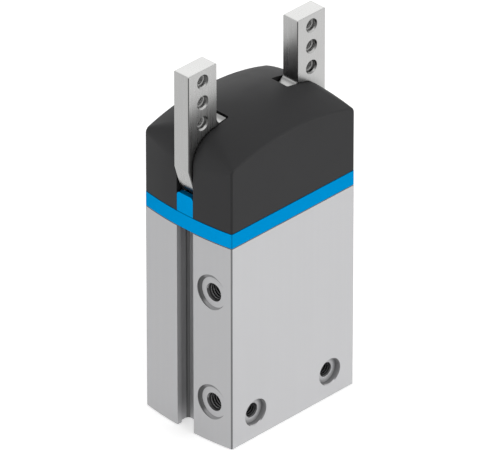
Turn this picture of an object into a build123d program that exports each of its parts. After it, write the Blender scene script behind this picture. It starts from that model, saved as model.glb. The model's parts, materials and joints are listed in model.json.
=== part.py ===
from build123d import *
import math
import os

# Angular gripper in millimetres. The origin is the middle of the base, +Z is up,
# the jaws open along X, and the broad front face looks towards -Y.
# A piston lifts a pin in the slots of two crossed levers, which swings both jaws outward.

# Clearances
running_gap = 0.05  # radial, round a piece that turns or slides in its seat
seat_gap = 0.02  # radial, round a piece that stays in its seat
side_gap = 0.1  # each side of a jaw between the cheeks that guide it
free_gap = 0.4  # between moving pieces and walls that they pass
overcut = 1.0  # how far a shape runs past the face where it cuts through or joins

# Housing
body_width = 43.2  # corner to corner across the front face
body_depth = 30.0
body_height = 58.4
side_crown = 1.3  # how far the middle of each narrow face stands out
corner_radius = 0.45
bore_radius = 12.5

# Grooves for the position sensors, one in the middle of each narrow face
groove_opening = 5.66
groove_width = 7.1
groove_lip = 1.5
groove_depth = 4.56
groove_fillet = 1.0

# Air ports in the narrow face at -X
port_y = -9.17
port_low = 11.7
port_high = 43.72
port_radius = 2.5
port_depth = 6.5
spot_radius = 5.0
spot_flat_radius = 4.1  # level ring round the thread, inside the flare at the foot of the wall
spot_flare = 0.42  # height of that flare
spot_depth = 0.9  # below the middle of the crowned face
passage_radius = 1.25

# Mounting holes low in the front face
mount_x = 13.2
mount_z = 7.2
mount_radius = 2.0
mount_depth = 7.6
centring_radius = 3.5
centring_depth = 1.5
centring_chamfer = 0.25

# Jaws and their levers
jaw_thickness = 5.14
grip_gap = 28.2  # between the inner faces with the jaws parallel
finger_width = 9.9
pivot_x = 16.0
pivot_rise = 14.6  # pivot above the housing's shoulder
jaw_height = 30.2  # tip above the pivot
hub_radius = 6.75
flank_angle = 16.8  # slant of the outer flank below the finger
shoulder_rise = 12.6  # where the inner face meets the shoulder, above the pivot
shoulder_slope = 30.0
shoulder_length = 6.5
shoulder_fillet = 1.2
shelf_end = 10.9  # inner end of the left jaw's level shoulder, from the middle of the gripper
shelf_corner = 0.5
shelf_fillet = 2.0
knee_radius = 2.0
tip_radius = 0.4
jaw_bevel = 0.2
pivot_radius = 2.5
finger_hole_top = 3.2  # first hole below the tip
finger_hole_pitch = 5.9
finger_hole_count = 3
finger_hole_radius = 1.5
finger_seat_radius = 1.95
finger_seat_depth = 0.8

# Slotted guide
open_angle = 20.0
closed_angle = 2.0  # how far each jaw swings inward past parallel
stroke_per_degree = 0.2
pin_drop = 6.0  # drive pin below the pivots with the jaws parallel
pin_radius = 2.0
slot_gap = 0.1
arm_wall = 2.1
lap_gap = 0.1  # between the two half-thick arms where they cross

# Rod and its fork
rod_radius = 5.0
fork_radius = 6.5
fork_base = 3.5
fork_top = 3.6  # fork above the drive pin
fork_chamfer = 0.6
pocket_gap = 0.5

# Rod guide and seals in the housing's end wall
retainer_thickness = 0.8
retainer_radius = 8.6
seal_pocket_radius = 8.0
rod_seal_height = 3.0
bush_radius = 6.5
lip_notch = 0.7  # half width and depth of the groove in a lip seal

# Piston
piston_gap = 0.3
nose_radius = 9.0
nose_height = 2.4
rod_socket = 8.0
piston_seal_height = 3.0
piston_seal_section = 2.3
land_height = 1.4
wear_ring_height = 6.0
wear_ring_section = 1.1
magnet_height = 3.5
magnet_section = 2.4
magnet_setback = 0.25
screw_radius = 2.5
screw_head_radius = 4.25
screw_head_height = 5.0
screw_head_recess = 6.0
screw_socket_radius = 2.0
screw_reach = 7.0  # into the rod

# Ends of the bore
port_margin = 0.35  # between a passage and the end of the chamber
buffer_thickness = 2.0
buffer_inner = 5.6
buffer_outer = 10.0
stop_gap = 0.1  # left between the piston and each buffer at the ends of the stroke
clip_setback = 0.95
clip_thickness = 1.2
clip_bite = 0.7  # how far the retaining ring reaches into the wall
clip_width = 1.5
clip_lug_radius = 1.7
clip_lug_hole = 0.65
clip_lug_angle = 17.0
cord_radius = 0.8  # section of the end cap's seal
cord_groove = 2.1  # height of the groove that holds it
cap_recess_radius = 8.0
cap_recess_depth = 1.0
bore_chamfer = 0.4

# Head of the housing, which carries the pivots inside the cover
head_gap = 0.2  # between the head and the cover
head_cap = 4.5  # head above the pivots
head_chamfer = 1.0
head_corner = 2.0

# Coloured band between housing and cover
band_height = 4.25
tab_height = 5.65
tab_thickness = 1.5
tab_gap = 0.08
tab_corner = 1.0
parting_chamfer = 0.14  # on each rim where housing, band and cover meet

# Cover
cover_wall = 1.6
cover_height = 28.9  # middle of the dome above the housing's shoulder
dome_drop = 3.3  # from the middle of the dome to the middle of its front edge
dome_radius = 66.0  # dome across the front
shoulder_mid = 8.6  # rounding of the cover's shoulder at mid-depth
shoulder_end = 1.3  # the same at the front and back faces
least_rounding = 0.4
edge_rounding = 0.6
slot_end = 10.2  # inner end of each jaw slot from the middle
slot_corner = 0.5
rib_length = 16.0
rib_rise = 7.5
rib_height = 1.6
rib_bite = 0.45

# Places that follow from the sizes above
half_width = body_width / 2
half_depth = body_depth / 2
crown_x = half_width + side_crown
pivot_z = body_height + pivot_rise
band_top = body_height + band_height
head_x = half_width - cover_wall - head_gap
head_y = half_depth - cover_wall - head_gap
head_top = pivot_z + head_cap
pin_z = pivot_z - pin_drop
jaw_slot = jaw_thickness / 2 + side_gap
open_stroke = open_angle * stroke_per_degree
closed_stroke = closed_angle * stroke_per_degree
arm_end_radius = pin_radius + slot_gap + arm_wall
chamber_top = port_high + passage_radius + port_margin
chamber_low = port_low - passage_radius - port_margin
piston_low = chamber_low + buffer_thickness + closed_stroke + stop_gap
piston_high = chamber_top - buffer_thickness - open_stroke - stop_gap
side_view = Plane(origin=(0, 0, 0), x_dir=(1, 0, 0), z_dir=(0, -1, 0))


def drive_point(angle):
    """Centre of the drive pin in the right jaw's frame, from its pivot, with the jaw open by angle."""
    turn = math.radians(angle)
    x = -pivot_x
    z = stroke_per_degree * angle - pin_drop
    return (x * math.cos(turn) - z * math.sin(turn), x * math.sin(turn) + z * math.cos(turn))


def turned_z(point, angle):
    """Height above the pivot of a point of the right jaw, with the jaw open by angle."""
    turn = math.radians(angle)
    return point[1] * math.cos(turn) - point[0] * math.sin(turn)


guide_angles = (-closed_angle, (open_angle - closed_angle) / 2, open_angle)
guide_points = [drive_point(angle) for angle in guide_angles]
arm_reach = max(math.hypot(*point) for point in guide_points) + arm_end_radius
lap_radius = 2 * pivot_x - arm_reach - free_gap
arm_low = min(turned_z(point, -closed_angle) for point in guide_points) - arm_end_radius
slot_floor = pivot_z + min(arm_low, -hub_radius) - free_gap
fork_floor = pivot_z + arm_low + closed_stroke - free_gap
fork_low = fork_floor - fork_base
pocket_floor = fork_low - closed_stroke - free_gap
seal_low = chamber_top + retainer_thickness
seal_top = seal_low + rod_seal_height


def block(x, y, z):
    """Box between the two limits given for each axis."""
    limits = (x, y, z)
    middle = [(low + high) / 2 for low, high in limits]
    return Pos(*middle) * Box(*[high - low for low, high in limits])


def upright(radius, low, high):
    """Cylinder about the Z axis."""
    return Pos(0, 0, (low + high) / 2) * Cylinder(radius, high - low)


def ring(inner, outer, low, high):
    """Plain ring about the Z axis."""
    return upright(outer, low, high) - upright(inner, low, high)


def along_y(radius, x, z, front, back):
    """Cylinder along Y at the given x and z."""
    return Pos(x, (front + back) / 2, z) * Rot(90, 0, 0) * Cylinder(radius, back - front)


def along_x(radius, y, z, left, right):
    """Cylinder along X at the given y and z."""
    return Pos((left + right) / 2, y, z) * Rot(0, 90, 0) * Cylinder(radius, right - left)


def disc_at(point, radius):
    """Edge of a disc in the side view."""
    return Pos(*point) * CenterArc((0, 0), radius, 0, 360)


def both_sides(shape):
    """The shape and its copy turned half round the Z axis."""
    return [shape, Rot(0, 0, 180) * shape]


def lip_seal(inner, outer, low, high, notch_up):
    """Ring of rubber with a groove in the face that the air presses on."""
    middle = (inner + outer) / 2
    face, root = (high, high - lip_notch) if notch_up else (low, low + lip_notch)
    notch = Polyline((middle - lip_notch, face), (middle, root), (middle + lip_notch, face), close=True)
    section = make_face(Polyline((inner, low), (outer, low), (outer, high), (inner, high), close=True))
    section -= make_face(notch)
    return revolve(side_view * section, Axis.Z)


def plan_outline(inset=0.0, corner=corner_radius):
    """Outline seen from above, with flat broad faces and crowned narrow ones."""
    x = half_width - inset
    y = half_depth - inset
    edges = Curve() + [
        Line((-x, -y), (x, -y)),
        ThreePointArc((x, -y), (x + side_crown, 0), (x, y)),
        Line((x, y), (-x, y)),
        ThreePointArc((-x, y), (-x - side_crown, 0), (-x, -y)),
    ]
    return fillet(make_face(edges).vertices(), corner)


def head_outline(grow=0.0):
    """Outline of the housing's head, which the band fits round."""
    return RectangleRounded(2 * (head_x + grow), 2 * (head_y + grow), head_corner)


def shelf_outline():
    """Level shoulder between the finger and the end of the slot in the cover."""
    end = shelf_end - pivot_x
    inner = grip_gap / 2 - pivot_x
    corners = ((end, 0), (inner, 0), (inner, shoulder_rise), (end, shoulder_rise))
    shelf = make_face(Polyline(*corners, close=True))
    corner = shelf.vertices().sort_by_distance((end, shoulder_rise, 0))[0]
    return fillet(corner, shelf_corner)


def jaw_outline(shelf=None):
    """Right jaw seen from the front, from its pivot: finger, hub, shoulder and inner arm."""
    inner = grip_gap / 2 - pivot_x
    outer = inner + finger_width
    slant = math.radians(flank_angle)
    flank = (hub_radius * math.cos(slant), -hub_radius * math.sin(slant))
    kink = (outer - flank[0]) / math.tan(slant) + flank[1]
    finger = make_face(
        Polyline(
            (0, 0), flank, (outer, kink), (outer, jaw_height), (inner, jaw_height), (inner, 0), close=True
        )
    )
    slope = math.radians(shoulder_slope)
    knees = []
    for travel in (shoulder_length, -shoulder_length / 2):
        x = inner - travel * math.cos(slope) + knee_radius * math.sin(slope)
        z = shoulder_rise - travel * math.sin(slope) - knee_radius * math.cos(slope)
        knees.append(disc_at((x, z), knee_radius))
    ends = [disc_at(point, arm_end_radius) for point in guide_points]
    arm = make_hull([disc_at((0, 0), hub_radius)] + ends + knees)
    outline = finger + arm
    if shelf:
        outline += shelf
    nook = outline.vertices().sort_by_distance((inner, shoulder_rise, 0))[0]
    outline = fillet(nook, shelf_fillet if shelf else shoulder_fillet)
    tips = [outline.vertices().sort_by_distance((x, jaw_height, 0))[0] for x in (inner, outer)]
    return fillet(tips, tip_radius)


def jaw(shelf=None):
    """Jaw in the right one's place; the left one has a shelf as well and is turned half round."""
    plate = extrude(side_view * jaw_outline(shelf), jaw_thickness / 2, both=True)
    rims = [face.outer_wire().edges() for face in plate.faces().filter_by(Axis.Y)]
    plate = chamfer(rims[0] + rims[1], jaw_bevel)
    plate -= along_y(pivot_radius + running_gap, 0, 0, -jaw_thickness, jaw_thickness)
    slot = make_hull([disc_at(point, pin_radius + slot_gap) for point in guide_points])
    plate -= extrude(side_view * slot, jaw_thickness, both=True)
    crossing = block(
        (-2 * arm_reach, slot_end - pivot_x), (-lap_gap / 2, jaw_thickness), (-2 * arm_reach, 2 * arm_reach)
    )
    plate -= crossing - along_y(lap_radius, 0, 0, -jaw_thickness, jaw_thickness)
    hole_x = (grip_gap + finger_width) / 2 - pivot_x
    for number in range(finger_hole_count):
        hole_z = jaw_height - finger_hole_top - number * finger_hole_pitch
        plate -= along_y(finger_hole_radius, hole_x, hole_z, -jaw_thickness, jaw_thickness)
        seat = jaw_thickness / 2 - finger_seat_depth
        plate -= along_y(finger_seat_radius, hole_x, hole_z, seat, jaw_thickness)
        plate -= along_y(finger_seat_radius, hole_x, hole_z, -jaw_thickness, -seat)
    return Pos(pivot_x, 0, pivot_z) * plate


def sensor_groove():
    """Space of the groove at +X: a narrow opening and a wider hollow behind its lips."""
    lip_x = crown_x - groove_lip
    floor_x = crown_x - groove_depth
    half = groove_opening / 2
    mouth = block((lip_x - overcut, crown_x + overcut), (-half, half), (-overcut, body_height))
    hollow = block((floor_x, lip_x), (-groove_width / 2, groove_width / 2), (-overcut, body_height))
    back = hollow.edges().filter_by(Axis.Z).group_by(Axis.X)[0]
    return mouth + fillet(back, groove_fillet)


def port(z, side):
    """Space of one air port: spot face, threaded hole and the passage to the bore."""
    floor = crown_x - spot_depth
    cone = Cone(spot_flat_radius, spot_radius, spot_flare)
    space = Pos(floor + spot_flare / 2, port_y, z) * Rot(0, 90, 0) * cone
    space += along_x(spot_radius, port_y, z, floor + spot_flare, crown_x + overcut)
    space += along_x(port_radius, port_y, z, floor - port_depth, floor)
    space += along_x(passage_radius, port_y, z, 0, floor - port_depth)
    return mirror(space, Plane.YZ) if side < 0 else space


def mounting_hole(x):
    """Space of one mounting hole in the front face: centring seat and threaded hole."""
    front = -half_depth
    hole = along_y(centring_radius, x, mount_z, front - overcut, front + centring_depth)
    hole += along_y(mount_radius, x, mount_z, front, front + mount_depth)
    cone = Cone(centring_radius, centring_radius + centring_chamfer, centring_chamfer)
    return hole + Pos(x, front + centring_chamfer / 2, mount_z) * Rot(90, 0, 0) * cone


def pin_holes():
    """Holes in the head for the two pivot pins."""
    radius = pivot_radius + seat_gap
    return [along_y(radius, x, pivot_z, -half_depth, half_depth) for x in (-pivot_x, pivot_x)]


def clip_groove():
    """Groove near the mouth of the bore for the retaining ring."""
    outer = bore_radius + clip_bite + seat_gap
    return upright(outer, clip_setback - seat_gap, clip_setback + clip_thickness + seat_gap)


def rib_section(grow=0.0):
    """Snap rib on the cover's inner face, seen from the side, or its groove in the head."""
    y = half_depth - cover_wall
    z = body_height + rib_rise
    half = rib_height / 2 + grow
    crest = y - head_gap - rib_bite - grow
    corners = ((y, z - half), (y, z + half), (crest, z + half / 2), (crest, z - half / 4))
    return make_face(Polyline(*corners, close=True))


def snap_ribs(grow=0.0):
    """The rib at the front and the one at the back, as solids along X."""
    rib = extrude(Plane.YZ * rib_section(grow), rib_length / 2 + grow, both=True)
    return both_sides(rib)


def housing():
    """Extruded body with bore, grooves, ports and mounting holes, and the slotted head on top."""
    foot = body_height - overcut
    head = extrude(Pos(0, 0, foot) * head_outline(), head_top - foot)
    head = chamfer(head.faces().sort_by(Axis.Z)[-1].edges(), head_chamfer)
    body = extrude(plan_outline(), body_height)
    body = chamfer(body.faces().sort_by(Axis.Z)[-1].edges(), parting_chamfer) + head
    body -= both_sides(sensor_groove())
    body -= block((-crown_x, crown_x), (-jaw_slot, jaw_slot), (slot_floor, head_top + overcut))
    body -= upright(fork_radius + pocket_gap, pocket_floor, head_top + overcut)
    body -= upright(bush_radius + seat_gap, seal_top, head_top)
    body -= upright(seal_pocket_radius + seat_gap, chamber_top, seal_top)
    body -= upright(retainer_radius + seat_gap, chamber_top - overcut, seal_low)
    body -= upright(bore_radius, -overcut, chamber_top)
    body -= Pos(0, 0, bore_chamfer / 2) * Cone(bore_radius + bore_chamfer, bore_radius, bore_chamfer)
    body -= clip_groove()
    for z in (port_low, port_high):
        body -= port(z, -1)
    for x in (-mount_x, mount_x):
        body -= mounting_hole(x)
    body -= pin_holes()
    body -= snap_ribs(side_gap)
    return body


def accent_band():
    """Band round the head, with an upright tab that closes the foot of each jaw slot."""
    band = Pos(0, 0, body_height) * extrude(plan_outline(), band_height)
    rims = band.faces().filter_by(Axis.Z)
    band = chamfer(rims[0].edges() + rims[1].edges(), parting_chamfer)
    band -= Pos(0, 0, body_height) * extrude(head_outline(seat_gap), band_height)
    tab_width = 2 * (groove_opening / 2 - tab_gap)
    foot = body_height + parting_chamfer
    tall = band_height + tab_height - parting_chamfer
    face = Pos(0, foot + tall / 2) * Rectangle(tab_width, tall)
    face = fillet(face.vertices().group_by(Axis.Y)[-1], tab_corner)
    skin = extrude(plan_outline(), tall) - extrude(plan_outline(tab_thickness), tall)
    skin = Pos(0, 0, foot) * skin
    tab = skin & (Plane.YZ * extrude(face, crown_x + overcut))
    return band + both_sides(tab)


def cover_section(share, inset):
    """Cover's outline from the front at the given share of its half depth, shrunk by inset."""
    fullness = 1 - share * share
    half = half_width + side_crown * fullness - inset
    apex = body_height + cover_height - dome_drop * (1 - fullness) - inset
    top_radius = dome_radius - inset
    rounding = max(shoulder_end + (shoulder_mid - shoulder_end) * fullness - inset, least_rounding)
    arc_x = half - rounding
    centre_z = apex - top_radius
    arc_z = centre_z + math.sqrt((top_radius - rounding) ** 2 - arc_x**2)
    lean = math.atan2(arc_z - centre_z, arc_x)
    bend = lean / 2
    bow = (arc_x + rounding * math.cos(bend), arc_z + rounding * math.sin(bend))
    tangent = (arc_x + rounding * math.cos(lean), arc_z + rounding * math.sin(lean))
    edges = Curve() + [
        Line((-half, band_top), (half, band_top)),
        Line((half, band_top), (half, arc_z)),
        ThreePointArc((half, arc_z), bow, tangent),
        ThreePointArc(tangent, (0, apex), (-tangent[0], tangent[1])),
        ThreePointArc((-tangent[0], tangent[1]), (-bow[0], bow[1]), (-half, arc_z)),
        Line((-half, arc_z), (-half, band_top)),
    ]
    y = share * (half_depth - inset)
    return Pos(0, y, 0) * (side_view * make_face(edges))


def cover_form(inset):
    """Solid form of the cover, domed both ways, with shoulders that round off towards the middle."""
    return loft([cover_section(share, inset) for share in (-1, -0.5, 0, 0.5, 1)])


def cover_cap():
    """Domed shell over the head, with a slot for each jaw and a snap rib inside each broad wall."""
    form = cover_form(0)
    rims = [edge for edge in form.edges() if abs(abs(edge.center().Y) - half_depth) < 0.01]
    rims = [edge for edge in rims if edge.center().Z > head_top]
    form = fillet(rims, edge_rounding)
    form &= Pos(0, 0, band_top) * extrude(plan_outline(), cover_height)
    form = chamfer(form.faces().sort_by(Axis.Z)[0].edges(), parting_chamfer)
    shell = form - cover_form(cover_wall)
    shell += snap_ribs()
    slot = block(
        (slot_end, crown_x + overcut),
        (-groove_opening / 2, groove_opening / 2),
        (band_top - overcut, body_height + cover_height + overcut),
    )
    slot = fillet(slot.edges().filter_by(Axis.Z).group_by(Axis.X)[0], slot_corner)
    return shell - both_sides(slot)


def piston_rod():
    """Rod with a forked head that the crossed arms enter and the drive pin joins."""
    head = upright(fork_radius, fork_low, pin_z + fork_top)
    rims = head.edges().filter_by(GeomType.CIRCLE)
    rod = chamfer(rims, fork_chamfer) + upright(rod_radius, piston_high - rod_socket, fork_low + overcut)
    rod -= block((-crown_x, crown_x), (-jaw_slot, jaw_slot), (fork_floor, head_top))
    rod -= along_y(pin_radius + seat_gap, 0, pin_z, -fork_radius, fork_radius)
    low = piston_high - rod_socket
    return rod - upright(screw_radius + seat_gap, low, low + screw_reach + overcut)


def piston_grooves():
    """Heights of the piston's rings, from its two ends inward."""
    lower = piston_low + nose_height + land_height
    upper = piston_high - nose_height - land_height
    wear = lower + piston_seal_height + land_height
    magnet = upper - piston_seal_height - land_height
    return {
        "lower_seal": (lower, lower + piston_seal_height),
        "wear": (wear, wear + wear_ring_height),
        "magnet": (magnet - magnet_height, magnet),
        "upper_seal": (upper - piston_seal_height, upper),
    }


def piston():
    """Piston with a raised nose at each end and grooves for its rings."""
    radius = bore_radius - piston_gap
    body = upright(nose_radius, piston_low, piston_high)
    body += upright(radius, piston_low + nose_height, piston_high - nose_height)
    grooves = piston_grooves()
    sections = {
        "lower_seal": piston_seal_section,
        "wear": wear_ring_section,
        "magnet": magnet_section,
        "upper_seal": piston_seal_section,
    }
    for name, (low, high) in grooves.items():
        root = bore_radius - running_gap - sections[name] - seat_gap
        body -= ring(root, bore_radius, low - seat_gap, high + seat_gap)
    body -= upright(rod_radius + seat_gap, piston_high - rod_socket, piston_high)
    body -= upright(screw_radius + seat_gap, piston_low, piston_high)
    return body - upright(screw_head_radius + seat_gap, piston_low, piston_low + screw_head_recess)


def piston_screw():
    """Socket screw that holds the piston on the rod."""
    seat = piston_low + screw_head_recess
    screw = upright(screw_head_radius, seat - screw_head_height, seat)
    screw += upright(screw_radius, seat, piston_high - rod_socket + screw_reach)
    socket = RegularPolygon(screw_socket_radius, 6)
    return screw - Pos(0, 0, seat - screw_head_height) * extrude(socket, screw_head_height / 2)


def piston_rings():
    """Seals, wear ring and magnet ring, by name."""
    grooves = piston_grooves()
    outer = bore_radius - running_gap
    low, high = grooves["lower_seal"]
    lower = lip_seal(outer - piston_seal_section, outer, low, high, False)
    low, high = grooves["upper_seal"]
    upper = lip_seal(outer - piston_seal_section, outer, low, high, True)
    wear = ring(outer - wear_ring_section, outer, *grooves["wear"])
    magnet_outer = bore_radius - piston_gap - magnet_setback
    magnet = ring(outer - magnet_section, magnet_outer, *grooves["magnet"])
    return {
        "lower_piston_seal": lower,
        "upper_piston_seal": upper,
        "wear_ring": wear,
        "magnet_ring": magnet,
    }


def end_cap():
    """Disc that closes the bore, with a groove for its seal and a shallow recess outside."""
    low = clip_setback + clip_thickness
    middle = (low + chamber_low) / 2
    disc = upright(bore_radius - seat_gap, low, chamber_low)
    root = bore_radius - 2 * cord_radius
    disc -= ring(root, bore_radius, middle - cord_groove / 2, middle + cord_groove / 2)
    return disc - upright(cap_recess_radius, low, low + cap_recess_depth)


def end_cap_seal():
    """Round rubber cord in the end cap's groove."""
    middle = (clip_setback + clip_thickness + chamber_low) / 2
    return Pos(0, 0, middle) * Torus(bore_radius - seat_gap - cord_radius, cord_radius - seat_gap)


def end_cap_ring():
    """Sprung retaining ring with two lugs for the pliers."""
    outer = bore_radius + clip_bite
    inner = outer - clip_bite - clip_width
    high = clip_setback + clip_thickness
    clip = ring(inner, outer, clip_setback, high)
    reach = inner - clip_lug_radius / 2
    for angle in (90 - clip_lug_angle, 90 + clip_lug_angle):
        spot = Rot(0, 0, angle) * Pos(reach, 0, 0)
        clip += spot * upright(clip_lug_radius, clip_setback, high)
        clip -= spot * upright(clip_lug_hole, clip_setback, high)
    opening = reach * math.sin(math.radians(clip_lug_angle)) - clip_lug_radius
    return clip - block((-opening, opening), (0, outer + overcut), (0, high + overcut))


def buffer(low):
    """Rubber ring that stops the piston at one end of the chamber."""
    return ring(buffer_inner, buffer_outer, low, low + buffer_thickness)


def pivot_pin(x):
    """Pin that a jaw turns on."""
    return along_y(pivot_radius, x, pivot_z, -head_y, head_y)


def rod_guides():
    """Bush, seal and retaining washer round the rod, by name."""
    inner = rod_radius + running_gap
    return {
        "rod_bush": ring(inner, bush_radius, seal_top + seat_gap, pocket_floor),
        "rod_seal": lip_seal(inner, seal_pocket_radius, seal_low + seat_gap, seal_top, False),
        "seal_retainer": ring(rod_radius + piston_gap, retainer_radius, chamber_top, seal_low),
    }


def nodes():
    """Every piece by its node's name."""
    pieces = {
        "housing": housing(),
        "accent_band": accent_band(),
        "cover_cap": cover_cap(),
        "right_jaw": jaw(),
        "left_jaw": Rot(0, 0, 180) * jaw(shelf_outline()),
        "left_pivot_pin": pivot_pin(-pivot_x),
        "right_pivot_pin": pivot_pin(pivot_x),
        "drive_pin": along_y(pin_radius, 0, pin_z, fork_chamfer - fork_radius, fork_radius - fork_chamfer),
        "piston_rod": piston_rod(),
        "piston": piston(),
        "piston_screw": piston_screw(),
        "upper_buffer": buffer(chamber_top - buffer_thickness),
        "lower_buffer": buffer(chamber_low),
        "end_cap": end_cap(),
        "end_cap_seal": end_cap_seal(),
        "end_cap_ring": end_cap_ring(),
    }
    pieces.update(piston_rings())
    pieces.update(rod_guides())
    return pieces


os.makedirs("parts", exist_ok=True)
for name, piece in nodes().items():
    export_step(piece, f"parts/{name}.step")
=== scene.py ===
import bmesh
import bpy
import json
import math
from mathutils import Matrix, Vector

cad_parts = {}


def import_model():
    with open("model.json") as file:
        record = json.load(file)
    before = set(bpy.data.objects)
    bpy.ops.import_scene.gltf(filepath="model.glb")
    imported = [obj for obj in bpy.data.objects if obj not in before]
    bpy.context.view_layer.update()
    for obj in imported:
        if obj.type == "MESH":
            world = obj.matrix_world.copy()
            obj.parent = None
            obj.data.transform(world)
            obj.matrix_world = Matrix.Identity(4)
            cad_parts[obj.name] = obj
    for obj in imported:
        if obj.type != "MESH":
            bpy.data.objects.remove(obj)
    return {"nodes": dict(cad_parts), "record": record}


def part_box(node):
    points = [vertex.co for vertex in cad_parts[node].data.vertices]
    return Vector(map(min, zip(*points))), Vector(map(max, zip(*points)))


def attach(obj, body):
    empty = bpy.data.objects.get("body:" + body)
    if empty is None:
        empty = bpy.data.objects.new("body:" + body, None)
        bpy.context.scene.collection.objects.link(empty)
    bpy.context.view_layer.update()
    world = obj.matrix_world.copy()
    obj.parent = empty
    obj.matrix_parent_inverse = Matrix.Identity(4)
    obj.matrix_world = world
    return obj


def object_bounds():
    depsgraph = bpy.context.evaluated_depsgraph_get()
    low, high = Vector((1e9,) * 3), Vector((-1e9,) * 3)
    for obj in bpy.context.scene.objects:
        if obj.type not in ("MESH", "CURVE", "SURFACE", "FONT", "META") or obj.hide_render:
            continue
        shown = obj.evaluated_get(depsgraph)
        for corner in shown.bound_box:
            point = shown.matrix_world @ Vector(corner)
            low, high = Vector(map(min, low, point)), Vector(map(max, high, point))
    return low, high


# Looks of the angular gripper, in metres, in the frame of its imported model.
# The front face with the mounting holes looks along -Y, and the jaws open along X.

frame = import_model()
cad_low, cad_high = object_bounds()
mounts = {mount["name"]: mount for mount in frame["record"]["mounts"]}

# Camera of the photograph
azimuth = math.radians(-45.48)
elevation = math.radians(31.55)
camera_distance = 2.397
camera_lens = 695.8  # mm
camera_sensor = 36  # mm
camera_clip = (0.1, 20)
camera_target = Vector((0, 0, 0.0496))

# Colours, linear
aluminium = (0.53, 0.53, 0.54)
blue = (0.0, 0.285, 0.660)
charcoal = (0.036, 0.036, 0.037)
steel = (0.475, 0.475, 0.47)
grey_steel = (0.45, 0.45, 0.46)
bronze = (0.50, 0.30, 0.13)
phosphate = (0.045, 0.045, 0.048)
black_rubber = (0.012, 0.012, 0.013)
brown_rubber = (0.03, 0.022, 0.016)
guide_tan = (0.55, 0.52, 0.42)
ferrite = (0.03, 0.03, 0.032)

# Values that the finishes share
noise_span = (0.3, 0.7)  # where most values of a noise lie
open_sky = (0.55, 0.98)  # shares of open sky between which a cavity's painted shade fades
sky_samples = 8
square_on = 0.9  # from here on a face counts as across an axis
side_on = 0.5  # below this a face counts as along an axis
face_fade = (0.6, 0.9)  # between these the painted light and shade of faces across an axis fades in

# Parting lines between housing, band and cover, darkened with painted shade
parting_heights = (0.0584, 0.06265)
parting_reach = 0.00014  # half height of their chamfered rims

# Grooves in the housing
foot_height = 0.007  # up to here painted light from the floor eases the grooves' painted shade

# Air ports and their spot faces, with painted shade on the spot faces' flared walls
air_ports = ("lower_air_port", "upper_air_port")
spot_floor = -0.0220  # x of the spot faces
port_side = -0.0212  # inner limit in x of their flared walls
port_reach = 0.00506  # reach of those walls from the port's axis
flare_lean = (0.90, 0.97)  # how square to X a face is where the flare ends and starts
port_pitch = 0.0008
port_thread_length = 0.0060

# Mounting holes and their centring seats, with painted shade on the seats' walls
seat_floor = -0.0135  # y of the seats' floors
seat_floor_slack = 0.0001
mount_reach = 0.0037  # reach of the seats' walls from the hole's axis
mount_pitch = 0.0007
mount_thread_length = 0.0061

# Holes of the jaws and their seats, with painted shade on the seats' floors and painted light on
# their walls
finger_rows = (-0.0059, 0.0, 0.0059)  # height from the middle hole
finger_seat = 0.0008  # depth of a seat from its face
finger_floor_limit = 0.0022  # floors lie nearer to mid-depth than this
finger_wall_limit = 0.0017  # walls lie farther from mid-depth than this
finger_axis = abs(mounts["right_jaw_holes"]["pos_m"][0])
finger_reach = 0.0021  # reach of the walls to each side of the axis
finger_walls = (0.088, 0.1025)  # heights between which the walls lie
finger_pitch = 0.0005

# Shoulders of the jaws, with painted shade along them
shoulder_limit = 0.090  # they lie below this height
shoulder_lean = (0.45, 0.85)  # how far up a face looks where the painted shade starts and is full
left_shoulder = (-0.0138, -0.0112)  # x from where to where the shading grows
right_shoulder = (0.0124, 0.0140)
right_shoulder_share = 0.8

# Section of a thread, as shares of its pitch
thread_share = 0.54  # depth
root_share = 0.47  # half width at the wall
crest_share = 0.15  # half width at the crest

# Run of a thread
root_sink = 0.00002  # how far its root lies inside the wall
least_fade = 0.02  # share of the depth at its ends
fade_turns = 1 / 3  # turn in which it reaches its depth
steps_per_turn = 48

# Mouths of the jaws' holes: a chamfer, and below it a wall down to the seat's floor
rim_outer = 0.00196
rim_inner = 0.00158
rim_depth = 0.00042
rim_wall = 0.00079
rim_steps = 48

# Crown of the left jaw's level shoulder: x and z of its corners
shelf_inner = -0.0109
shelf_outer = -0.0142
shelf_base = 0.0854
shelf_rise_inner = 0.08625
shelf_rise_outer = 0.0858
shelf_bevel = 0.00005  # how far it stays from the jaw's two faces

# Angles from which an edge stays sharp
piece_crease = math.radians(35)  # on the pieces made here
node_crease = math.radians(24)

# Light and floor
ambient = 0.50  # strength of the world for all but the background's rays
floor_size = 6
floor_gap = 0.0002  # how far it lies below the object
floor_tone = 0.86
floor_lift = 0.47  # its own light for the background's rays
lamp_rows = (  # name, direction from the object, strength, angle in degrees
    ("key", (0.12, -0.98, 0.12), 1.88, 60),
    ("fill", (-0.93, -0.30, 0.10), 0.88, 90),
    ("back", (0.35, 0.75, 0.55), 0.48, 60),
)


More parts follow.
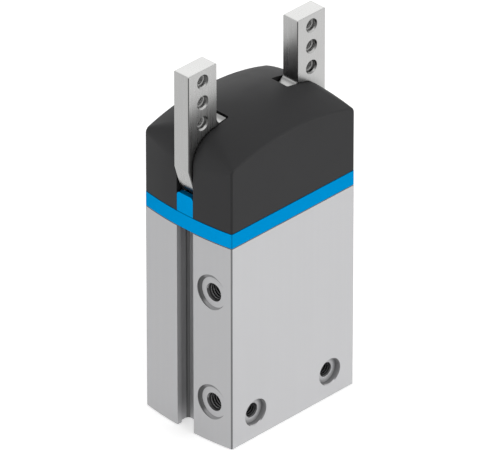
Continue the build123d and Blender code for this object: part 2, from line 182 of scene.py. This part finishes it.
class Graph:
    """A material's nodes, with short calls for what the finishes below are made of."""

    def __init__(self, name):
        self.material = bpy.data.materials.new(name)
        self.material.use_nodes = True
        self.nodes = self.material.node_tree.nodes
        self.links = self.material.node_tree.links
        self.shader = self.nodes["Principled BSDF"]
        self.place = self.nodes.new("ShaderNodeTexCoord").outputs["Object"]

    def put(self, socket, value):
        """Links the socket to a node's output, or sets it to a plain value."""
        if isinstance(value, bpy.types.NodeSocket):
            self.links.new(value, socket)
        else:
            socket.default_value = value

    def math(self, operation, first, second=0.0):
        """What a math node makes of one or two values."""
        node = self.nodes.new("ShaderNodeMath")
        node.operation = operation
        self.put(node.inputs[0], first)
        self.put(node.inputs[1], second)
        return node.outputs[0]

    def range(self, value, source, target):
        """Value within the source pair, spread smoothly over the target pair."""
        node = self.nodes.new("ShaderNodeMapRange")
        node.interpolation_type = "SMOOTHSTEP"
        for socket, number in zip(node.inputs, (value, *source, *target)):
            self.put(socket, number)
        return node.outputs[0]

    def stretched(self, scale):
        """The object's coordinates, scaled apart along X, Y and Z."""
        node = self.nodes.new("ShaderNodeMapping")
        self.links.new(self.place, node.inputs["Vector"])
        node.inputs["Scale"].default_value = scale
        return node.outputs["Vector"]

    def noise(self, scale, detail=3.0, roughness=0.55, stretch=None):
        """Noise with that many lumps a metre, from 0 to 1."""
        node = self.nodes.new("ShaderNodeTexNoise")
        place = self.stretched(stretch) if stretch else self.place
        self.links.new(place, node.inputs["Vector"])
        node.inputs["Scale"].default_value = scale
        node.inputs["Detail"].default_value = detail
        node.inputs["Roughness"].default_value = roughness
        return node.outputs["Fac"]

    def cells(self, scale):
        """Distance to the nearest point of a random scatter with that many a metre."""
        node = self.nodes.new("ShaderNodeTexVoronoi")
        self.links.new(self.place, node.inputs["Vector"])
        node.inputs["Scale"].default_value = scale
        return node.outputs["Distance"]

    def rings(self, axis, scale):
        """Turning marks about one of the object's axes."""
        node = self.nodes.new("ShaderNodeTexWave")
        node.wave_type = "RINGS"
        node.rings_direction = axis
        node.inputs["Scale"].default_value = scale
        node.inputs["Distortion"].default_value = 1.5
        node.inputs["Detail"].default_value = 2.0
        self.links.new(self.place, node.inputs["Vector"])
        return node.outputs["Fac"]

    def normal_part(self):
        """The three parts of the surface's direction in the object's frame."""
        node = self.nodes.new("ShaderNodeSeparateXYZ")
        coordinates = self.nodes.new("ShaderNodeTexCoord")
        self.links.new(coordinates.outputs["Normal"], node.inputs[0])
        return node.outputs

    def place_part(self):
        """The three object coordinates."""
        node = self.nodes.new("ShaderNodeSeparateXYZ")
        self.links.new(self.place, node.inputs[0])
        return node.outputs

    def scaled(self, tone, factor):
        """Tone times a factor."""
        node = self.nodes.new("ShaderNodeVectorMath")
        node.operation = "SCALE"
        self.put(node.inputs[0], tone)
        self.put(node.inputs["Scale"], factor)
        return node.outputs[0]

    def mix(self, share, first, second):
        """Colour between two, by share."""
        node = self.nodes.new("ShaderNodeMix")
        node.data_type = "RGBA"
        self.put(node.inputs["Factor"], share)
        for socket, colour in ((node.inputs[6], first), (node.inputs[7], second)):
            solid = not isinstance(colour, bpy.types.NodeSocket)
            self.put(socket, (*colour, 1.0) if solid else colour)
        return node.outputs[2]

    def scaled_where(self, tone, hit, factor):
        """Tone times a factor where hit is 1, and as it is where hit is 0."""
        return self.scaled(tone, self.range(hit, (0.0, 1.0), (1.0, factor)))

    def within(self, value, middle, reach):
        """1 where the value lies less than reach from the middle, else 0."""
        away = self.math("ABSOLUTE", self.math("SUBTRACT", value, middle))
        return self.math("LESS_THAN", away, reach)

    def all_of(self, *hits):
        """Product of hits: 1 where each of them is 1."""
        joined = hits[0]
        for hit in hits[1:]:
            joined = self.math("MULTIPLY", joined, hit)
        return joined

    def painted_face_light(self, tone, across_x=1.0, across_y=1.0, top=1.0):
        """Painted light and shade: tone scaled on the faces across X, on those across Y and on
        those that look up.
        """
        x, y, z = self.normal_part()
        sideways, endways = self.math("ABSOLUTE", x), self.math("ABSOLUTE", y)
        factor = 1.0
        for way, share in ((sideways, across_x), (endways, across_y), (z, top)):
            factor = self.math("MULTIPLY", factor, self.range(way, face_fade, (1.0, share)))
        return self.scaled(tone, factor)

    def painted_mount_seat_shade(self, tone, dark):
        """Painted shade: tone made darker on the walls of the centring seat of each mounting hole.
        """
        x, y, z = self.place_part()
        pattern = mounts["front_mount_holes"]
        axis = pattern["dims"]["spacing_x_mm"] / 2000
        hit = self.all_of(
            self.within(self.math("ABSOLUTE", x), axis, mount_reach),
            self.within(z, pattern["pos_m"][2], mount_reach),
            self.math("LESS_THAN", y, seat_floor + seat_floor_slack),
            self.math("LESS_THAN", self.math("ABSOLUTE", self.normal_part()[1]), side_on),
        )
        return self.scaled_where(tone, hit, dark)

    def painted_seat_light_and_shade(self, tone, floor_share, wall_share):
        """Painted light and shade: tone scaled on the floor and on the wall of every seat of the
        jaws' holes.
        """
        x, y, z = self.place_part()
        depth = self.math("ABSOLUTE", y)
        across = self.math("ABSOLUTE", self.normal_part()[1])
        floors = self.all_of(
            self.math("LESS_THAN", depth, finger_floor_limit),
            self.math("GREATER_THAN", across, square_on),
        )
        walls = self.all_of(
            self.within(self.math("ABSOLUTE", x), finger_axis, finger_reach),
            self.math("LESS_THAN", across, side_on),
            self.math("GREATER_THAN", depth, finger_wall_limit),
            self.math("GREATER_THAN", z, finger_walls[0]),
            self.math("LESS_THAN", z, finger_walls[1]),
        )
        tone = self.scaled_where(tone, floors, floor_share)
        return self.scaled_where(tone, walls, wall_share)

    def painted_shoulder_shade(self, tone, dark):
        """Painted shade: tone that darkens along the shoulder of each jaw, on both as x grows."""
        x, _, z = self.place_part()
        upward = self.range(self.normal_part()[2], shoulder_lean, (0.0, 1.0))
        here = self.math("MULTIPLY", upward, self.math("LESS_THAN", z, shoulder_limit))
        left = self.range(x, left_shoulder, (0.0, 1.0))
        left = self.math("MULTIPLY", left, self.math("LESS_THAN", x, 0.0))
        right = self.range(x, right_shoulder, (0.0, right_shoulder_share))
        along = self.math("MULTIPLY", self.math("MAXIMUM", left, right), here)
        return self.scaled_where(tone, along, dark)

    def painted_cavity_shade(self, tone, reach, dark, local=False):
        """Painted shade: tone made darker where walls stand within reach, as in holes, grooves and
        slots.
        """
        node = self.nodes.new("ShaderNodeAmbientOcclusion")
        node.samples = sky_samples
        node.only_local = local
        node.inputs["Distance"].default_value = reach
        return self.scaled(tone, self.range(node.outputs["AO"], open_sky, (dark, 1.0)))

    def painted_corner_shade(self, tone, spread, dark):
        """Painted shade: tone made darker along the corners that run up the body."""
        x, y, _ = self.normal_part()
        corner = self.math("ABSOLUTE", self.math("MULTIPLY", x, y))
        return self.scaled(tone, self.range(corner, spread, (1.0, dark)))

    def painted_parting_shade(self, tone, dark):
        """Painted shade in the joints: tone made darker on the chamfered rims where housing, band
        and cover meet.
        """
        _, _, z = self.place_part()
        rim = 0.0
        for height in parting_heights:
            rim = self.math("MAXIMUM", rim, self.within(z, height, parting_reach))
        return self.scaled_where(tone, rim, dark)

    def painted_port_rim_shade(self, tone, dark):
        """Painted shade: tone made darker on the flared walls of the air ports' spot faces."""
        x, y, z = self.place_part()
        lean = self.range(self.math("ABSOLUTE", self.normal_part()[0]), flare_lean, (1.0, 0.0))
        lean = self.math("MULTIPLY", lean, self.math("LESS_THAN", x, port_side))
        for name in air_ports:
            _, port_y, port_z = mounts[name]["pos_m"]
            squares = []
            for value, middle in ((y, port_y), (z, port_z)):
                away = self.math("ABSOLUTE", self.math("SUBTRACT", value, middle))
                squares.append(self.math("POWER", away, 2.0))
            away = self.math("SQRT", self.math("ADD", *squares))
            hit = self.math("MULTIPLY", self.math("LESS_THAN", away, port_reach), lean)
            tone = self.scaled_where(tone, hit, dark)
        return tone

    def bump(self, heights):
        """Bumps in turn, each a height and how deep it is in metres."""
        below = None
        for height, depth in heights:
            node = self.nodes.new("ShaderNodeBump")
            node.inputs["Strength"].default_value = 1.0
            node.inputs["Distance"].default_value = depth
            self.put(node.inputs["Height"], height)
            if below:
                self.links.new(below, node.inputs["Normal"])
            below = node.outputs["Normal"]
        self.links.new(below, self.shader.inputs["Normal"])

    def finish(self, colour, roughness, metallic=0.0, **sockets):
        """The material, once the shader has its colour, roughness and other values."""
        self.put(self.shader.inputs["Base Color"], colour)
        self.put(self.shader.inputs["Roughness"], roughness)
        self.put(self.shader.inputs["Metallic"], metallic)
        for name, value in sockets.items():
            self.shader.inputs[name.replace("_", " ")].default_value = value
        return self.material


def shade(colour, factor):
    """Colour made lighter or darker."""
    return tuple(part * factor for part in colour)


def anodised(name):
    """Satin anodised extrusion: blasted grain and faint drawing lines along Z, with painted shade
    along its corners.
    """
    g = Graph(name)
    cloud = g.noise(45, detail=2)
    lines = g.noise(900, detail=2, stretch=(1.0, 1.0, 0.02))
    grain = g.noise(9000, detail=2)
    tone = g.mix(cloud, shade(aluminium, 0.975), shade(aluminium, 1.025))
    tone = g.mix(g.range(lines, (0.35, 0.65), (0.0, 0.05)), tone, shade(aluminium, 0.8))
    # painted shade along the corners
    tone = g.painted_corner_shade(tone, spread=(0.20, 0.30), dark=0.30)
    # painted shade in the parting lines
    tone = g.painted_parting_shade(tone, dark=0.25)
    # painted shade on the faces across X
    tone = g.painted_face_light(tone, across_x=0.94)
    # painted light from the floor: the grooves' painted shade eases towards the bottom
    painted_shade_by_height = g.range(g.place_part()[2], (0.0, foot_height), (1.0, 0.70))
    # painted shade in the grooves, holes and inner corners
    tone = g.painted_cavity_shade(tone, reach=0.008, dark=painted_shade_by_height, local=True)
    tone = g.painted_cavity_shade(tone, reach=0.0012, dark=0.70, local=True)
    # painted shade on the flared walls of the air ports
    tone = g.painted_port_rim_shade(tone, dark=0.5)
    # painted shade on the walls of the mounting holes' seats
    tone = g.painted_mount_seat_shade(tone, dark=0.74)
    g.bump([(lines, 0.0000008), (grain, 0.0000025)])
    roughness = g.range(cloud, noise_span, (0.40, 0.48))
    return g.finish(tone, roughness, metallic=0.35)


def thread_with_painted_light(name, metal, axis, crest, painted_flank_factor):
    """Cut thread about one axis, with painted highlights on its crests and painted shade on its
    flanks.
    """
    g = Graph(name)
    marks = g.noise(3500)
    lean = g.math("ABSOLUTE", g.normal_part()[axis])
    # painted highlight on the crests and painted shade on the flanks
    tone = g.mix(g.range(lean, (0.15, 0.40), (0.0, 1.0)), shade(metal, crest), shade(metal, painted_flank_factor))
    tone = g.mix(g.range(marks, (0.35, 0.7), (0.0, 0.25)), tone, shade(metal, painted_flank_factor))
    # painted shade deep in the hole
    tone = g.painted_cavity_shade(tone, reach=0.004, dark=0.6)
    g.bump([(marks, 0.000002)])
    return g.finish(tone, g.range(marks, noise_span, (0.38, 0.5)), Specular_IOR_Level=0.1)


def moulded(name, colour, grain_depth, roughness, gloss=0.3, faces=(1.0, 1.0, 1.0)):
    """Moulded plastic with an eroded surface and a slightly uneven gloss; faces scales the painted
    light and shade of its faces across X, across Y and looking up.
    """
    g = Graph(name)
    cloud = g.noise(60)
    erosion = g.noise(5200, roughness=0.6)
    pits = g.cells(3600)
    tone = g.mix(cloud, shade(colour, 0.94), shade(colour, 1.06))
    tone = g.mix(g.range(erosion, (0.45, 0.8), (0.0, 0.10)), tone, shade(colour, 1.6))
    # painted shade along the corners
    tone = g.painted_corner_shade(tone, spread=(0.15, 0.40), dark=0.68)
    # painted shade in the parting lines
    tone = g.painted_parting_shade(tone, dark=0.4)
    # painted shade in the hollows
    tone = g.painted_cavity_shade(tone, reach=0.003, dark=0.3)
    # painted light and shade on the faces by the way they look
    tone = g.painted_face_light(tone, *faces)
    g.bump([(erosion, grain_depth), (pits, grain_depth / 2)])
    return g.finish(tone, g.range(cloud, noise_span, roughness), Specular_IOR_Level=gloss)


def ground_steel(name):
    """Stainless steel ground along Z, with a few finer scratches."""
    g = Graph(name)
    cloud = g.noise(80)
    grind = g.noise(2600, roughness=0.6, stretch=(1.0, 1.0, 0.03))
    scratch = g.noise(700, detail=4, roughness=0.7, stretch=(1.0, 0.6, 0.12))
    tone = g.mix(cloud, shade(steel, 0.95), shade(steel, 1.05))
    tone = g.mix(g.range(grind, noise_span, (0.0, 0.08)), tone, shade(steel, 0.7))
    # painted shade along the corners
    tone = g.painted_corner_shade(tone, spread=(0.25, 0.45), dark=0.22)
    # painted shade in the hollows
    tone = g.painted_cavity_shade(tone, reach=0.003, dark=0.75)
    # painted light and shade on the faces by the way they look
    tone = g.painted_face_light(tone, across_x=0.88, across_y=1.05, top=1.08)
    # painted shade on the seats' floors and painted light on their walls
    tone = g.painted_seat_light_and_shade(tone, floor_share=0.30, wall_share=1.9)
    # painted shade along the jaws' shoulders
    tone = g.painted_shoulder_shade(tone, dark=0.35)
    g.bump([(grind, 0.00000025), (scratch, 0.0000002)])
    return g.finish(tone, g.range(grind, noise_span, (0.26, 0.31)), metallic=1.0)


def turned_metal(name, colour, axis, roughness=0.3):
    """Metal turned about one axis, with fine ring marks."""
    g = Graph(name)
    marks = g.rings(axis, 2200)
    cloud = g.noise(120)
    tone = g.mix(cloud, shade(colour, 0.92), shade(colour, 1.06))
    tone = g.mix(g.range(marks, (0.2, 0.9), (0.0, 0.15)), tone, shade(colour, 0.7))
    g.bump([(marks, 0.0000015)])
    roughness = g.range(cloud, noise_span, (roughness - 0.05, roughness + 0.08))
    return g.finish(tone, roughness, metallic=1.0)


def rubber(name, colour):
    """Matt rubber with a fine bloom."""
    g = Graph(name)
    cloud = g.noise(220, detail=4)
    grain = g.noise(7000, detail=2)
    tone = g.mix(cloud, shade(colour, 0.8), shade(colour, 1.3))
    g.bump([(grain, 0.000004)])
    return g.finish(tone, g.range(cloud, noise_span, (0.6, 0.78)))


def porous_bronze(name):
    """Sintered bronze, with dark pores."""
    g = Graph(name)
    pores = g.cells(5200)
    cloud = g.noise(300)
    tone = g.mix(cloud, shade(bronze, 0.85), shade(bronze, 1.1))
    tone = g.mix(g.range(pores, (0.05, 0.28), (0.9, 0.0)), tone, shade(bronze, 0.25))
    g.bump([(pores, 0.00001)])
    return g.finish(tone, g.range(cloud, noise_span, (0.38, 0.5)), metallic=1.0)


def phosphated(name):
    """Sprung steel with a dark crystalline phosphate coat."""
    g = Graph(name)
    crystals = g.cells(9000)
    cloud = g.noise(500)
    tone = g.mix(cloud, shade(phosphate, 0.7), shade(phosphate, 1.5))
    g.bump([(crystals, 0.000006)])
    return g.finish(tone, g.range(crystals, (0.1, 0.6), (0.42, 0.6)), metallic=0.6)


def finishes():
    """The material of each slot, and of the threads."""
    return {
        "housing": anodised("anodised_aluminium"),
        # faces: painted light and shade of the faces across X, across Y and looking up
        "band": moulded("blue_plastic", blue, grain_depth=0.000003, roughness=(0.45, 0.55),
                        gloss=0.0, faces=(1.22, 0.94, 1.0)),
        "cover": moulded("charcoal_plastic", charcoal, grain_depth=0.000006, roughness=(0.46, 0.56),
                         gloss=0.10, faces=(1.08, 0.92, 1.0)),
        "jaw_steel": ground_steel("ground_steel"),
        "pin_steel": turned_metal("hardened_steel", grey_steel, "Y"),
        "rod_steel": turned_metal("polished_rod", steel, "Z", roughness=0.18),
        "piston": turned_metal("turned_aluminium", aluminium, "Z"),
        "seal": rubber("seal_rubber", black_rubber),
        "guide": moulded("guide_plastic", guide_tan, grain_depth=0.000003, roughness=(0.35, 0.45)),
        "magnet": moulded("bonded_ferrite", ferrite, grain_depth=0.000008, roughness=(0.5, 0.6)),
        "bronze": porous_bronze("porous_bronze"),
        "buffer": rubber("buffer_rubber", brown_rubber),
        "clip": phosphated("phosphated_steel"),
        # crest and flank: painted light and painted shade of the threads' crests and flanks
        "port_thread": thread_with_painted_light("port_thread", aluminium, axis=0, crest=1.3, painted_flank_factor=0.05),
        "mount_thread": thread_with_painted_light("mount_thread", aluminium, axis=1, crest=0.6, painted_flank_factor=0.03),
        "finger_thread": thread_with_painted_light("finger_thread", steel, axis=1, crest=1.2, painted_flank_factor=1.1),
    }


def dress_nodes(materials):
    """Gives every node the finish of its slot."""
    for part in frame["record"]["subparts"]:
        node = frame["nodes"][part["node"]]
        node.data.materials.clear()
        node.data.materials.append(materials[part["material_slot"]])


def keep(name, mesh, material, body):
    """Object from a finished mesh, with its true edges sharp, that rides on a body."""
    bmesh.ops.recalc_face_normals(mesh, faces=mesh.faces)
    data = bpy.data.meshes.new(name)
    mesh.to_mesh(data)
    mesh.free()
    data.materials.append(material)
    data.shade_smooth()
    data.set_sharp_from_angle(angle=piece_crease)
    piece = bpy.data.objects.new(name, data)
    bpy.context.scene.collection.objects.link(piece)
    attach(piece, body)


def loop_faces(mesh, first, second):
    """Quads between two closed rows of as many points."""
    for corner in range(len(first)):
        after = (corner + 1) % len(first)
        mesh.faces.new((first[corner], first[after], second[after], second[corner]))


def set_in_hole(mesh, mouth, axis):
    """Moves a mesh about +Z into a hole: mouth is the hole's middle, and axis points out of it."""
    turn = (-Vector(axis)).to_track_quat("Z", "Y").to_matrix().to_4x4()
    mesh.transform(Matrix.Translation(mouth) @ turn)


def helix(length, radius, pitch):
    """Mesh of an internal thread's ridge about +Z from 0 to length, which fades in and out."""
    mesh = bmesh.new()
    count = round((length - pitch) / pitch * steps_per_turn)
    fade_steps = steps_per_turn * fade_turns
    outer = radius + root_sink
    half_root, half_crest = root_share * pitch, crest_share * pitch
    sections = []
    for step in range(count + 1):
        angle = 2 * math.pi * step / steps_per_turn
        fade = min(1.0, step / fade_steps, (count - step) / fade_steps)
        crest = radius - thread_share * pitch * max(fade, least_fade)
        middle = pitch / 2 + pitch * step / steps_per_turn
        x, y = math.cos(angle), math.sin(angle)
        profile = ((outer, -half_root), (crest, -half_crest),
                   (crest, half_crest), (outer, half_root))
        sections.append([mesh.verts.new((x * r, y * r, middle + z)) for r, z in profile])
    for low, high in zip(sections, sections[1:]):
        loop_faces(mesh, low, high)
    mesh.faces.new(list(reversed(sections[0])))
    mesh.faces.new(sections[-1])
    return mesh


def thread(name, mouth, axis, length, radius, pitch, body, material):
    """Thread inside a hole: mouth is the middle of its outer end, and axis points out of it."""
    mesh = helix(length, radius, pitch)
    set_in_hole(mesh, mouth, axis)
    keep(name, mesh, material, body)


def rim(name, mouth, axis, body, material):
    """Chamfer and wall in the mouth of a seat: mouth is its middle, and axis points out."""
    mesh = bmesh.new()
    profile = ((rim_outer, 0.0), (rim_outer, rim_wall),
               (rim_inner, rim_wall), (rim_inner, rim_depth))
    sections = []
    for step in range(rim_steps):
        angle = 2 * math.pi * step / rim_steps
        x, y = math.cos(angle), math.sin(angle)
        sections.append([mesh.verts.new((x * r, y * r, z)) for r, z in profile])
    for first, second in zip(sections, sections[1:] + sections[:1]):
        loop_faces(mesh, first, second)
    set_in_hole(mesh, mouth, axis)
    keep(name, mesh, material, body)


def threads(materials):
    """Threads of ports, mounting holes and jaws' holes, and the mouths of the jaws' holes."""
    for name in air_ports:
        mount = mounts[name]
        mouth = Vector((spot_floor, mount["pos_m"][1], mount["pos_m"][2]))
        thread(f"{name}_thread", mouth, (-1, 0, 0), port_thread_length,
               mount["dims"]["r_mm"] / 1000, port_pitch, "body",
               materials["port_thread"])
    pattern = mounts["front_mount_holes"]
    for side, name in ((-1, "left"), (1, "right")):
        x = side * pattern["dims"]["spacing_x_mm"] / 2000
        mouth = Vector((x, seat_floor, pattern["pos_m"][2]))
        thread(f"{name}_mounting_thread", mouth, (0, -1, 0), mount_thread_length,
               pattern["dims"]["hole_r_mm"] / 1000, mount_pitch, "body",
               materials["mount_thread"])
    for side in ("left", "right"):
        pattern = mounts[f"{side}_jaw_holes"]
        radius = pattern["dims"]["hole_r_mm"] / 1000
        body = f"{side}_jaw"
        low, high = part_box(body)
        length = high.y - low.y - 2 * finger_seat
        x, _, middle = pattern["pos_m"]
        for row, rise in enumerate(finger_rows, 1):
            mouth = Vector((x, low.y + finger_seat, middle + rise))
            thread(f"{side}_finger_thread_{row}", mouth, (0, -1, 0), length, radius,
                   finger_pitch, body, materials["finger_thread"])
            for face, out, end in ((low.y, -1, "front"), (high.y, 1, "back")):
                rim(f"{side}_finger_rim_{row}_{end}", Vector((x, face, middle + rise)),
                    (0, out, 0), body, materials["jaw_steel"])


def shelf_top(materials):
    """Crown of the left jaw's level shoulder, which follows the dome of the cover."""
    low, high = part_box("left_jaw")
    outline = ((shelf_inner, shelf_base), (shelf_inner, shelf_rise_inner),
               (shelf_outer, shelf_rise_outer), (shelf_outer, shelf_base))
    mesh = bmesh.new()
    front, back = ([mesh.verts.new((x, y, z)) for x, z in outline]
                   for y in (low.y + shelf_bevel, high.y - shelf_bevel))
    loop_faces(mesh, front, back)
    mesh.faces.new(front)
    mesh.faces.new(list(reversed(back)))
    keep("left_jaw_shelf_top", mesh, materials["jaw_steel"], "left_jaw")


def smooth_nodes():
    """Smooth shading over the round faces, with the true edges kept sharp."""
    for node in frame["nodes"].values():
        node.data.shade_smooth()
        if not node.data.has_custom_normals:
            node.data.set_sharp_from_angle(angle=node_crease)


def background_rays(nodes, links):
    """1 for the rays that see a white backdrop (camera, glossy, transmission), 0 for the rest."""
    path = nodes.new("ShaderNodeLightPath")
    total = path.outputs["Is Camera Ray"]
    for kind in ("Is Glossy Ray", "Is Transmission Ray"):
        join = nodes.new("ShaderNodeMath")
        join.operation = "MAXIMUM"
        links.new(total, join.inputs[0])
        links.new(path.outputs[kind], join.inputs[1])
        total = join.outputs[0]
    return total


def world():
    """White backdrop for the camera and for reflections, and a plain soft light for the rest."""
    sky = bpy.data.worlds.new("studio")
    bpy.context.scene.world = sky
    sky.use_nodes = True
    nodes, links = sky.node_tree.nodes, sky.node_tree.links
    background = nodes["Background"]
    background.inputs["Color"].default_value = (1, 1, 1, 1)
    strength = nodes.new("ShaderNodeMapRange")
    links.new(background_rays(nodes, links), strength.inputs["Value"])
    strength.inputs["To Min"].default_value = ambient
    strength.inputs["To Max"].default_value = 1.0
    links.new(strength.outputs[0], background.inputs["Strength"])


def floor():
    """Pale floor that stays white to the camera and keeps the object's shadow."""
    bpy.ops.mesh.primitive_plane_add(size=floor_size, location=(0, 0, cad_low.z - floor_gap))
    plane = bpy.context.object
    plane.name = "floor"
    material = bpy.data.materials.new("pale_floor")
    material.use_nodes = True
    nodes, links = material.node_tree.nodes, material.node_tree.links
    nodes.remove(nodes["Principled BSDF"])
    matt = nodes.new("ShaderNodeBsdfDiffuse")
    matt.inputs["Color"].default_value = (floor_tone, floor_tone, floor_tone, 1)
    lift = nodes.new("ShaderNodeEmission")
    lift.inputs["Color"].default_value = (1, 1, 1, 1)
    strength = nodes.new("ShaderNodeMath")
    strength.operation = "MULTIPLY"
    strength.inputs[1].default_value = floor_lift
    links.new(background_rays(nodes, links), strength.inputs[0])
    links.new(strength.outputs[0], lift.inputs["Strength"])
    add = nodes.new("ShaderNodeAddShader")
    links.new(matt.outputs[0], add.inputs[0])
    links.new(lift.outputs[0], add.inputs[1])
    links.new(add.outputs[0], nodes["Material Output"].inputs["Surface"])
    plane.data.materials.append(material)


def lamp(name, towards, strength, spread):
    """Soft distant lamp: towards points from the object to it, spread is its angle in degrees."""
    data = bpy.data.lights.new(name, "SUN")
    data.energy = strength
    data.angle = math.radians(spread)
    obj = bpy.data.objects.new(name, data)
    obj.rotation_mode = "QUATERNION"
    obj.rotation_quaternion = Vector(towards).to_track_quat("Z", "Y")
    bpy.context.scene.collection.objects.link(obj)


def lamps():
    """Low key from the front, a fill from the left and a light from behind over the top."""
    for row in lamp_rows:
        lamp(*row)


def camera():
    """Camera of the photograph, aimed by its azimuth and elevation."""
    data = bpy.data.cameras.new("camera")
    data.lens = camera_lens
    data.sensor_width = camera_sensor
    data.clip_start, data.clip_end = camera_clip
    obj = bpy.data.objects.new("camera", data)
    back = Vector((
        math.sin(azimuth) * math.cos(elevation),
        -math.cos(azimuth) * math.cos(elevation),
        math.sin(elevation),
    ))
    obj.location = camera_target + back * camera_distance
    obj.rotation_mode = "QUATERNION"
    obj.rotation_quaternion = (-back).to_track_quat("-Z", "Y")
    bpy.context.scene.collection.objects.link(obj)
    bpy.context.scene.camera = obj


bpy.context.scene.view_settings.view_transform = "Standard"
slots = finishes()
dress_nodes(slots)
smooth_nodes()
threads(slots)
shelf_top(slots)
world()
floor()
lamps()
camera()
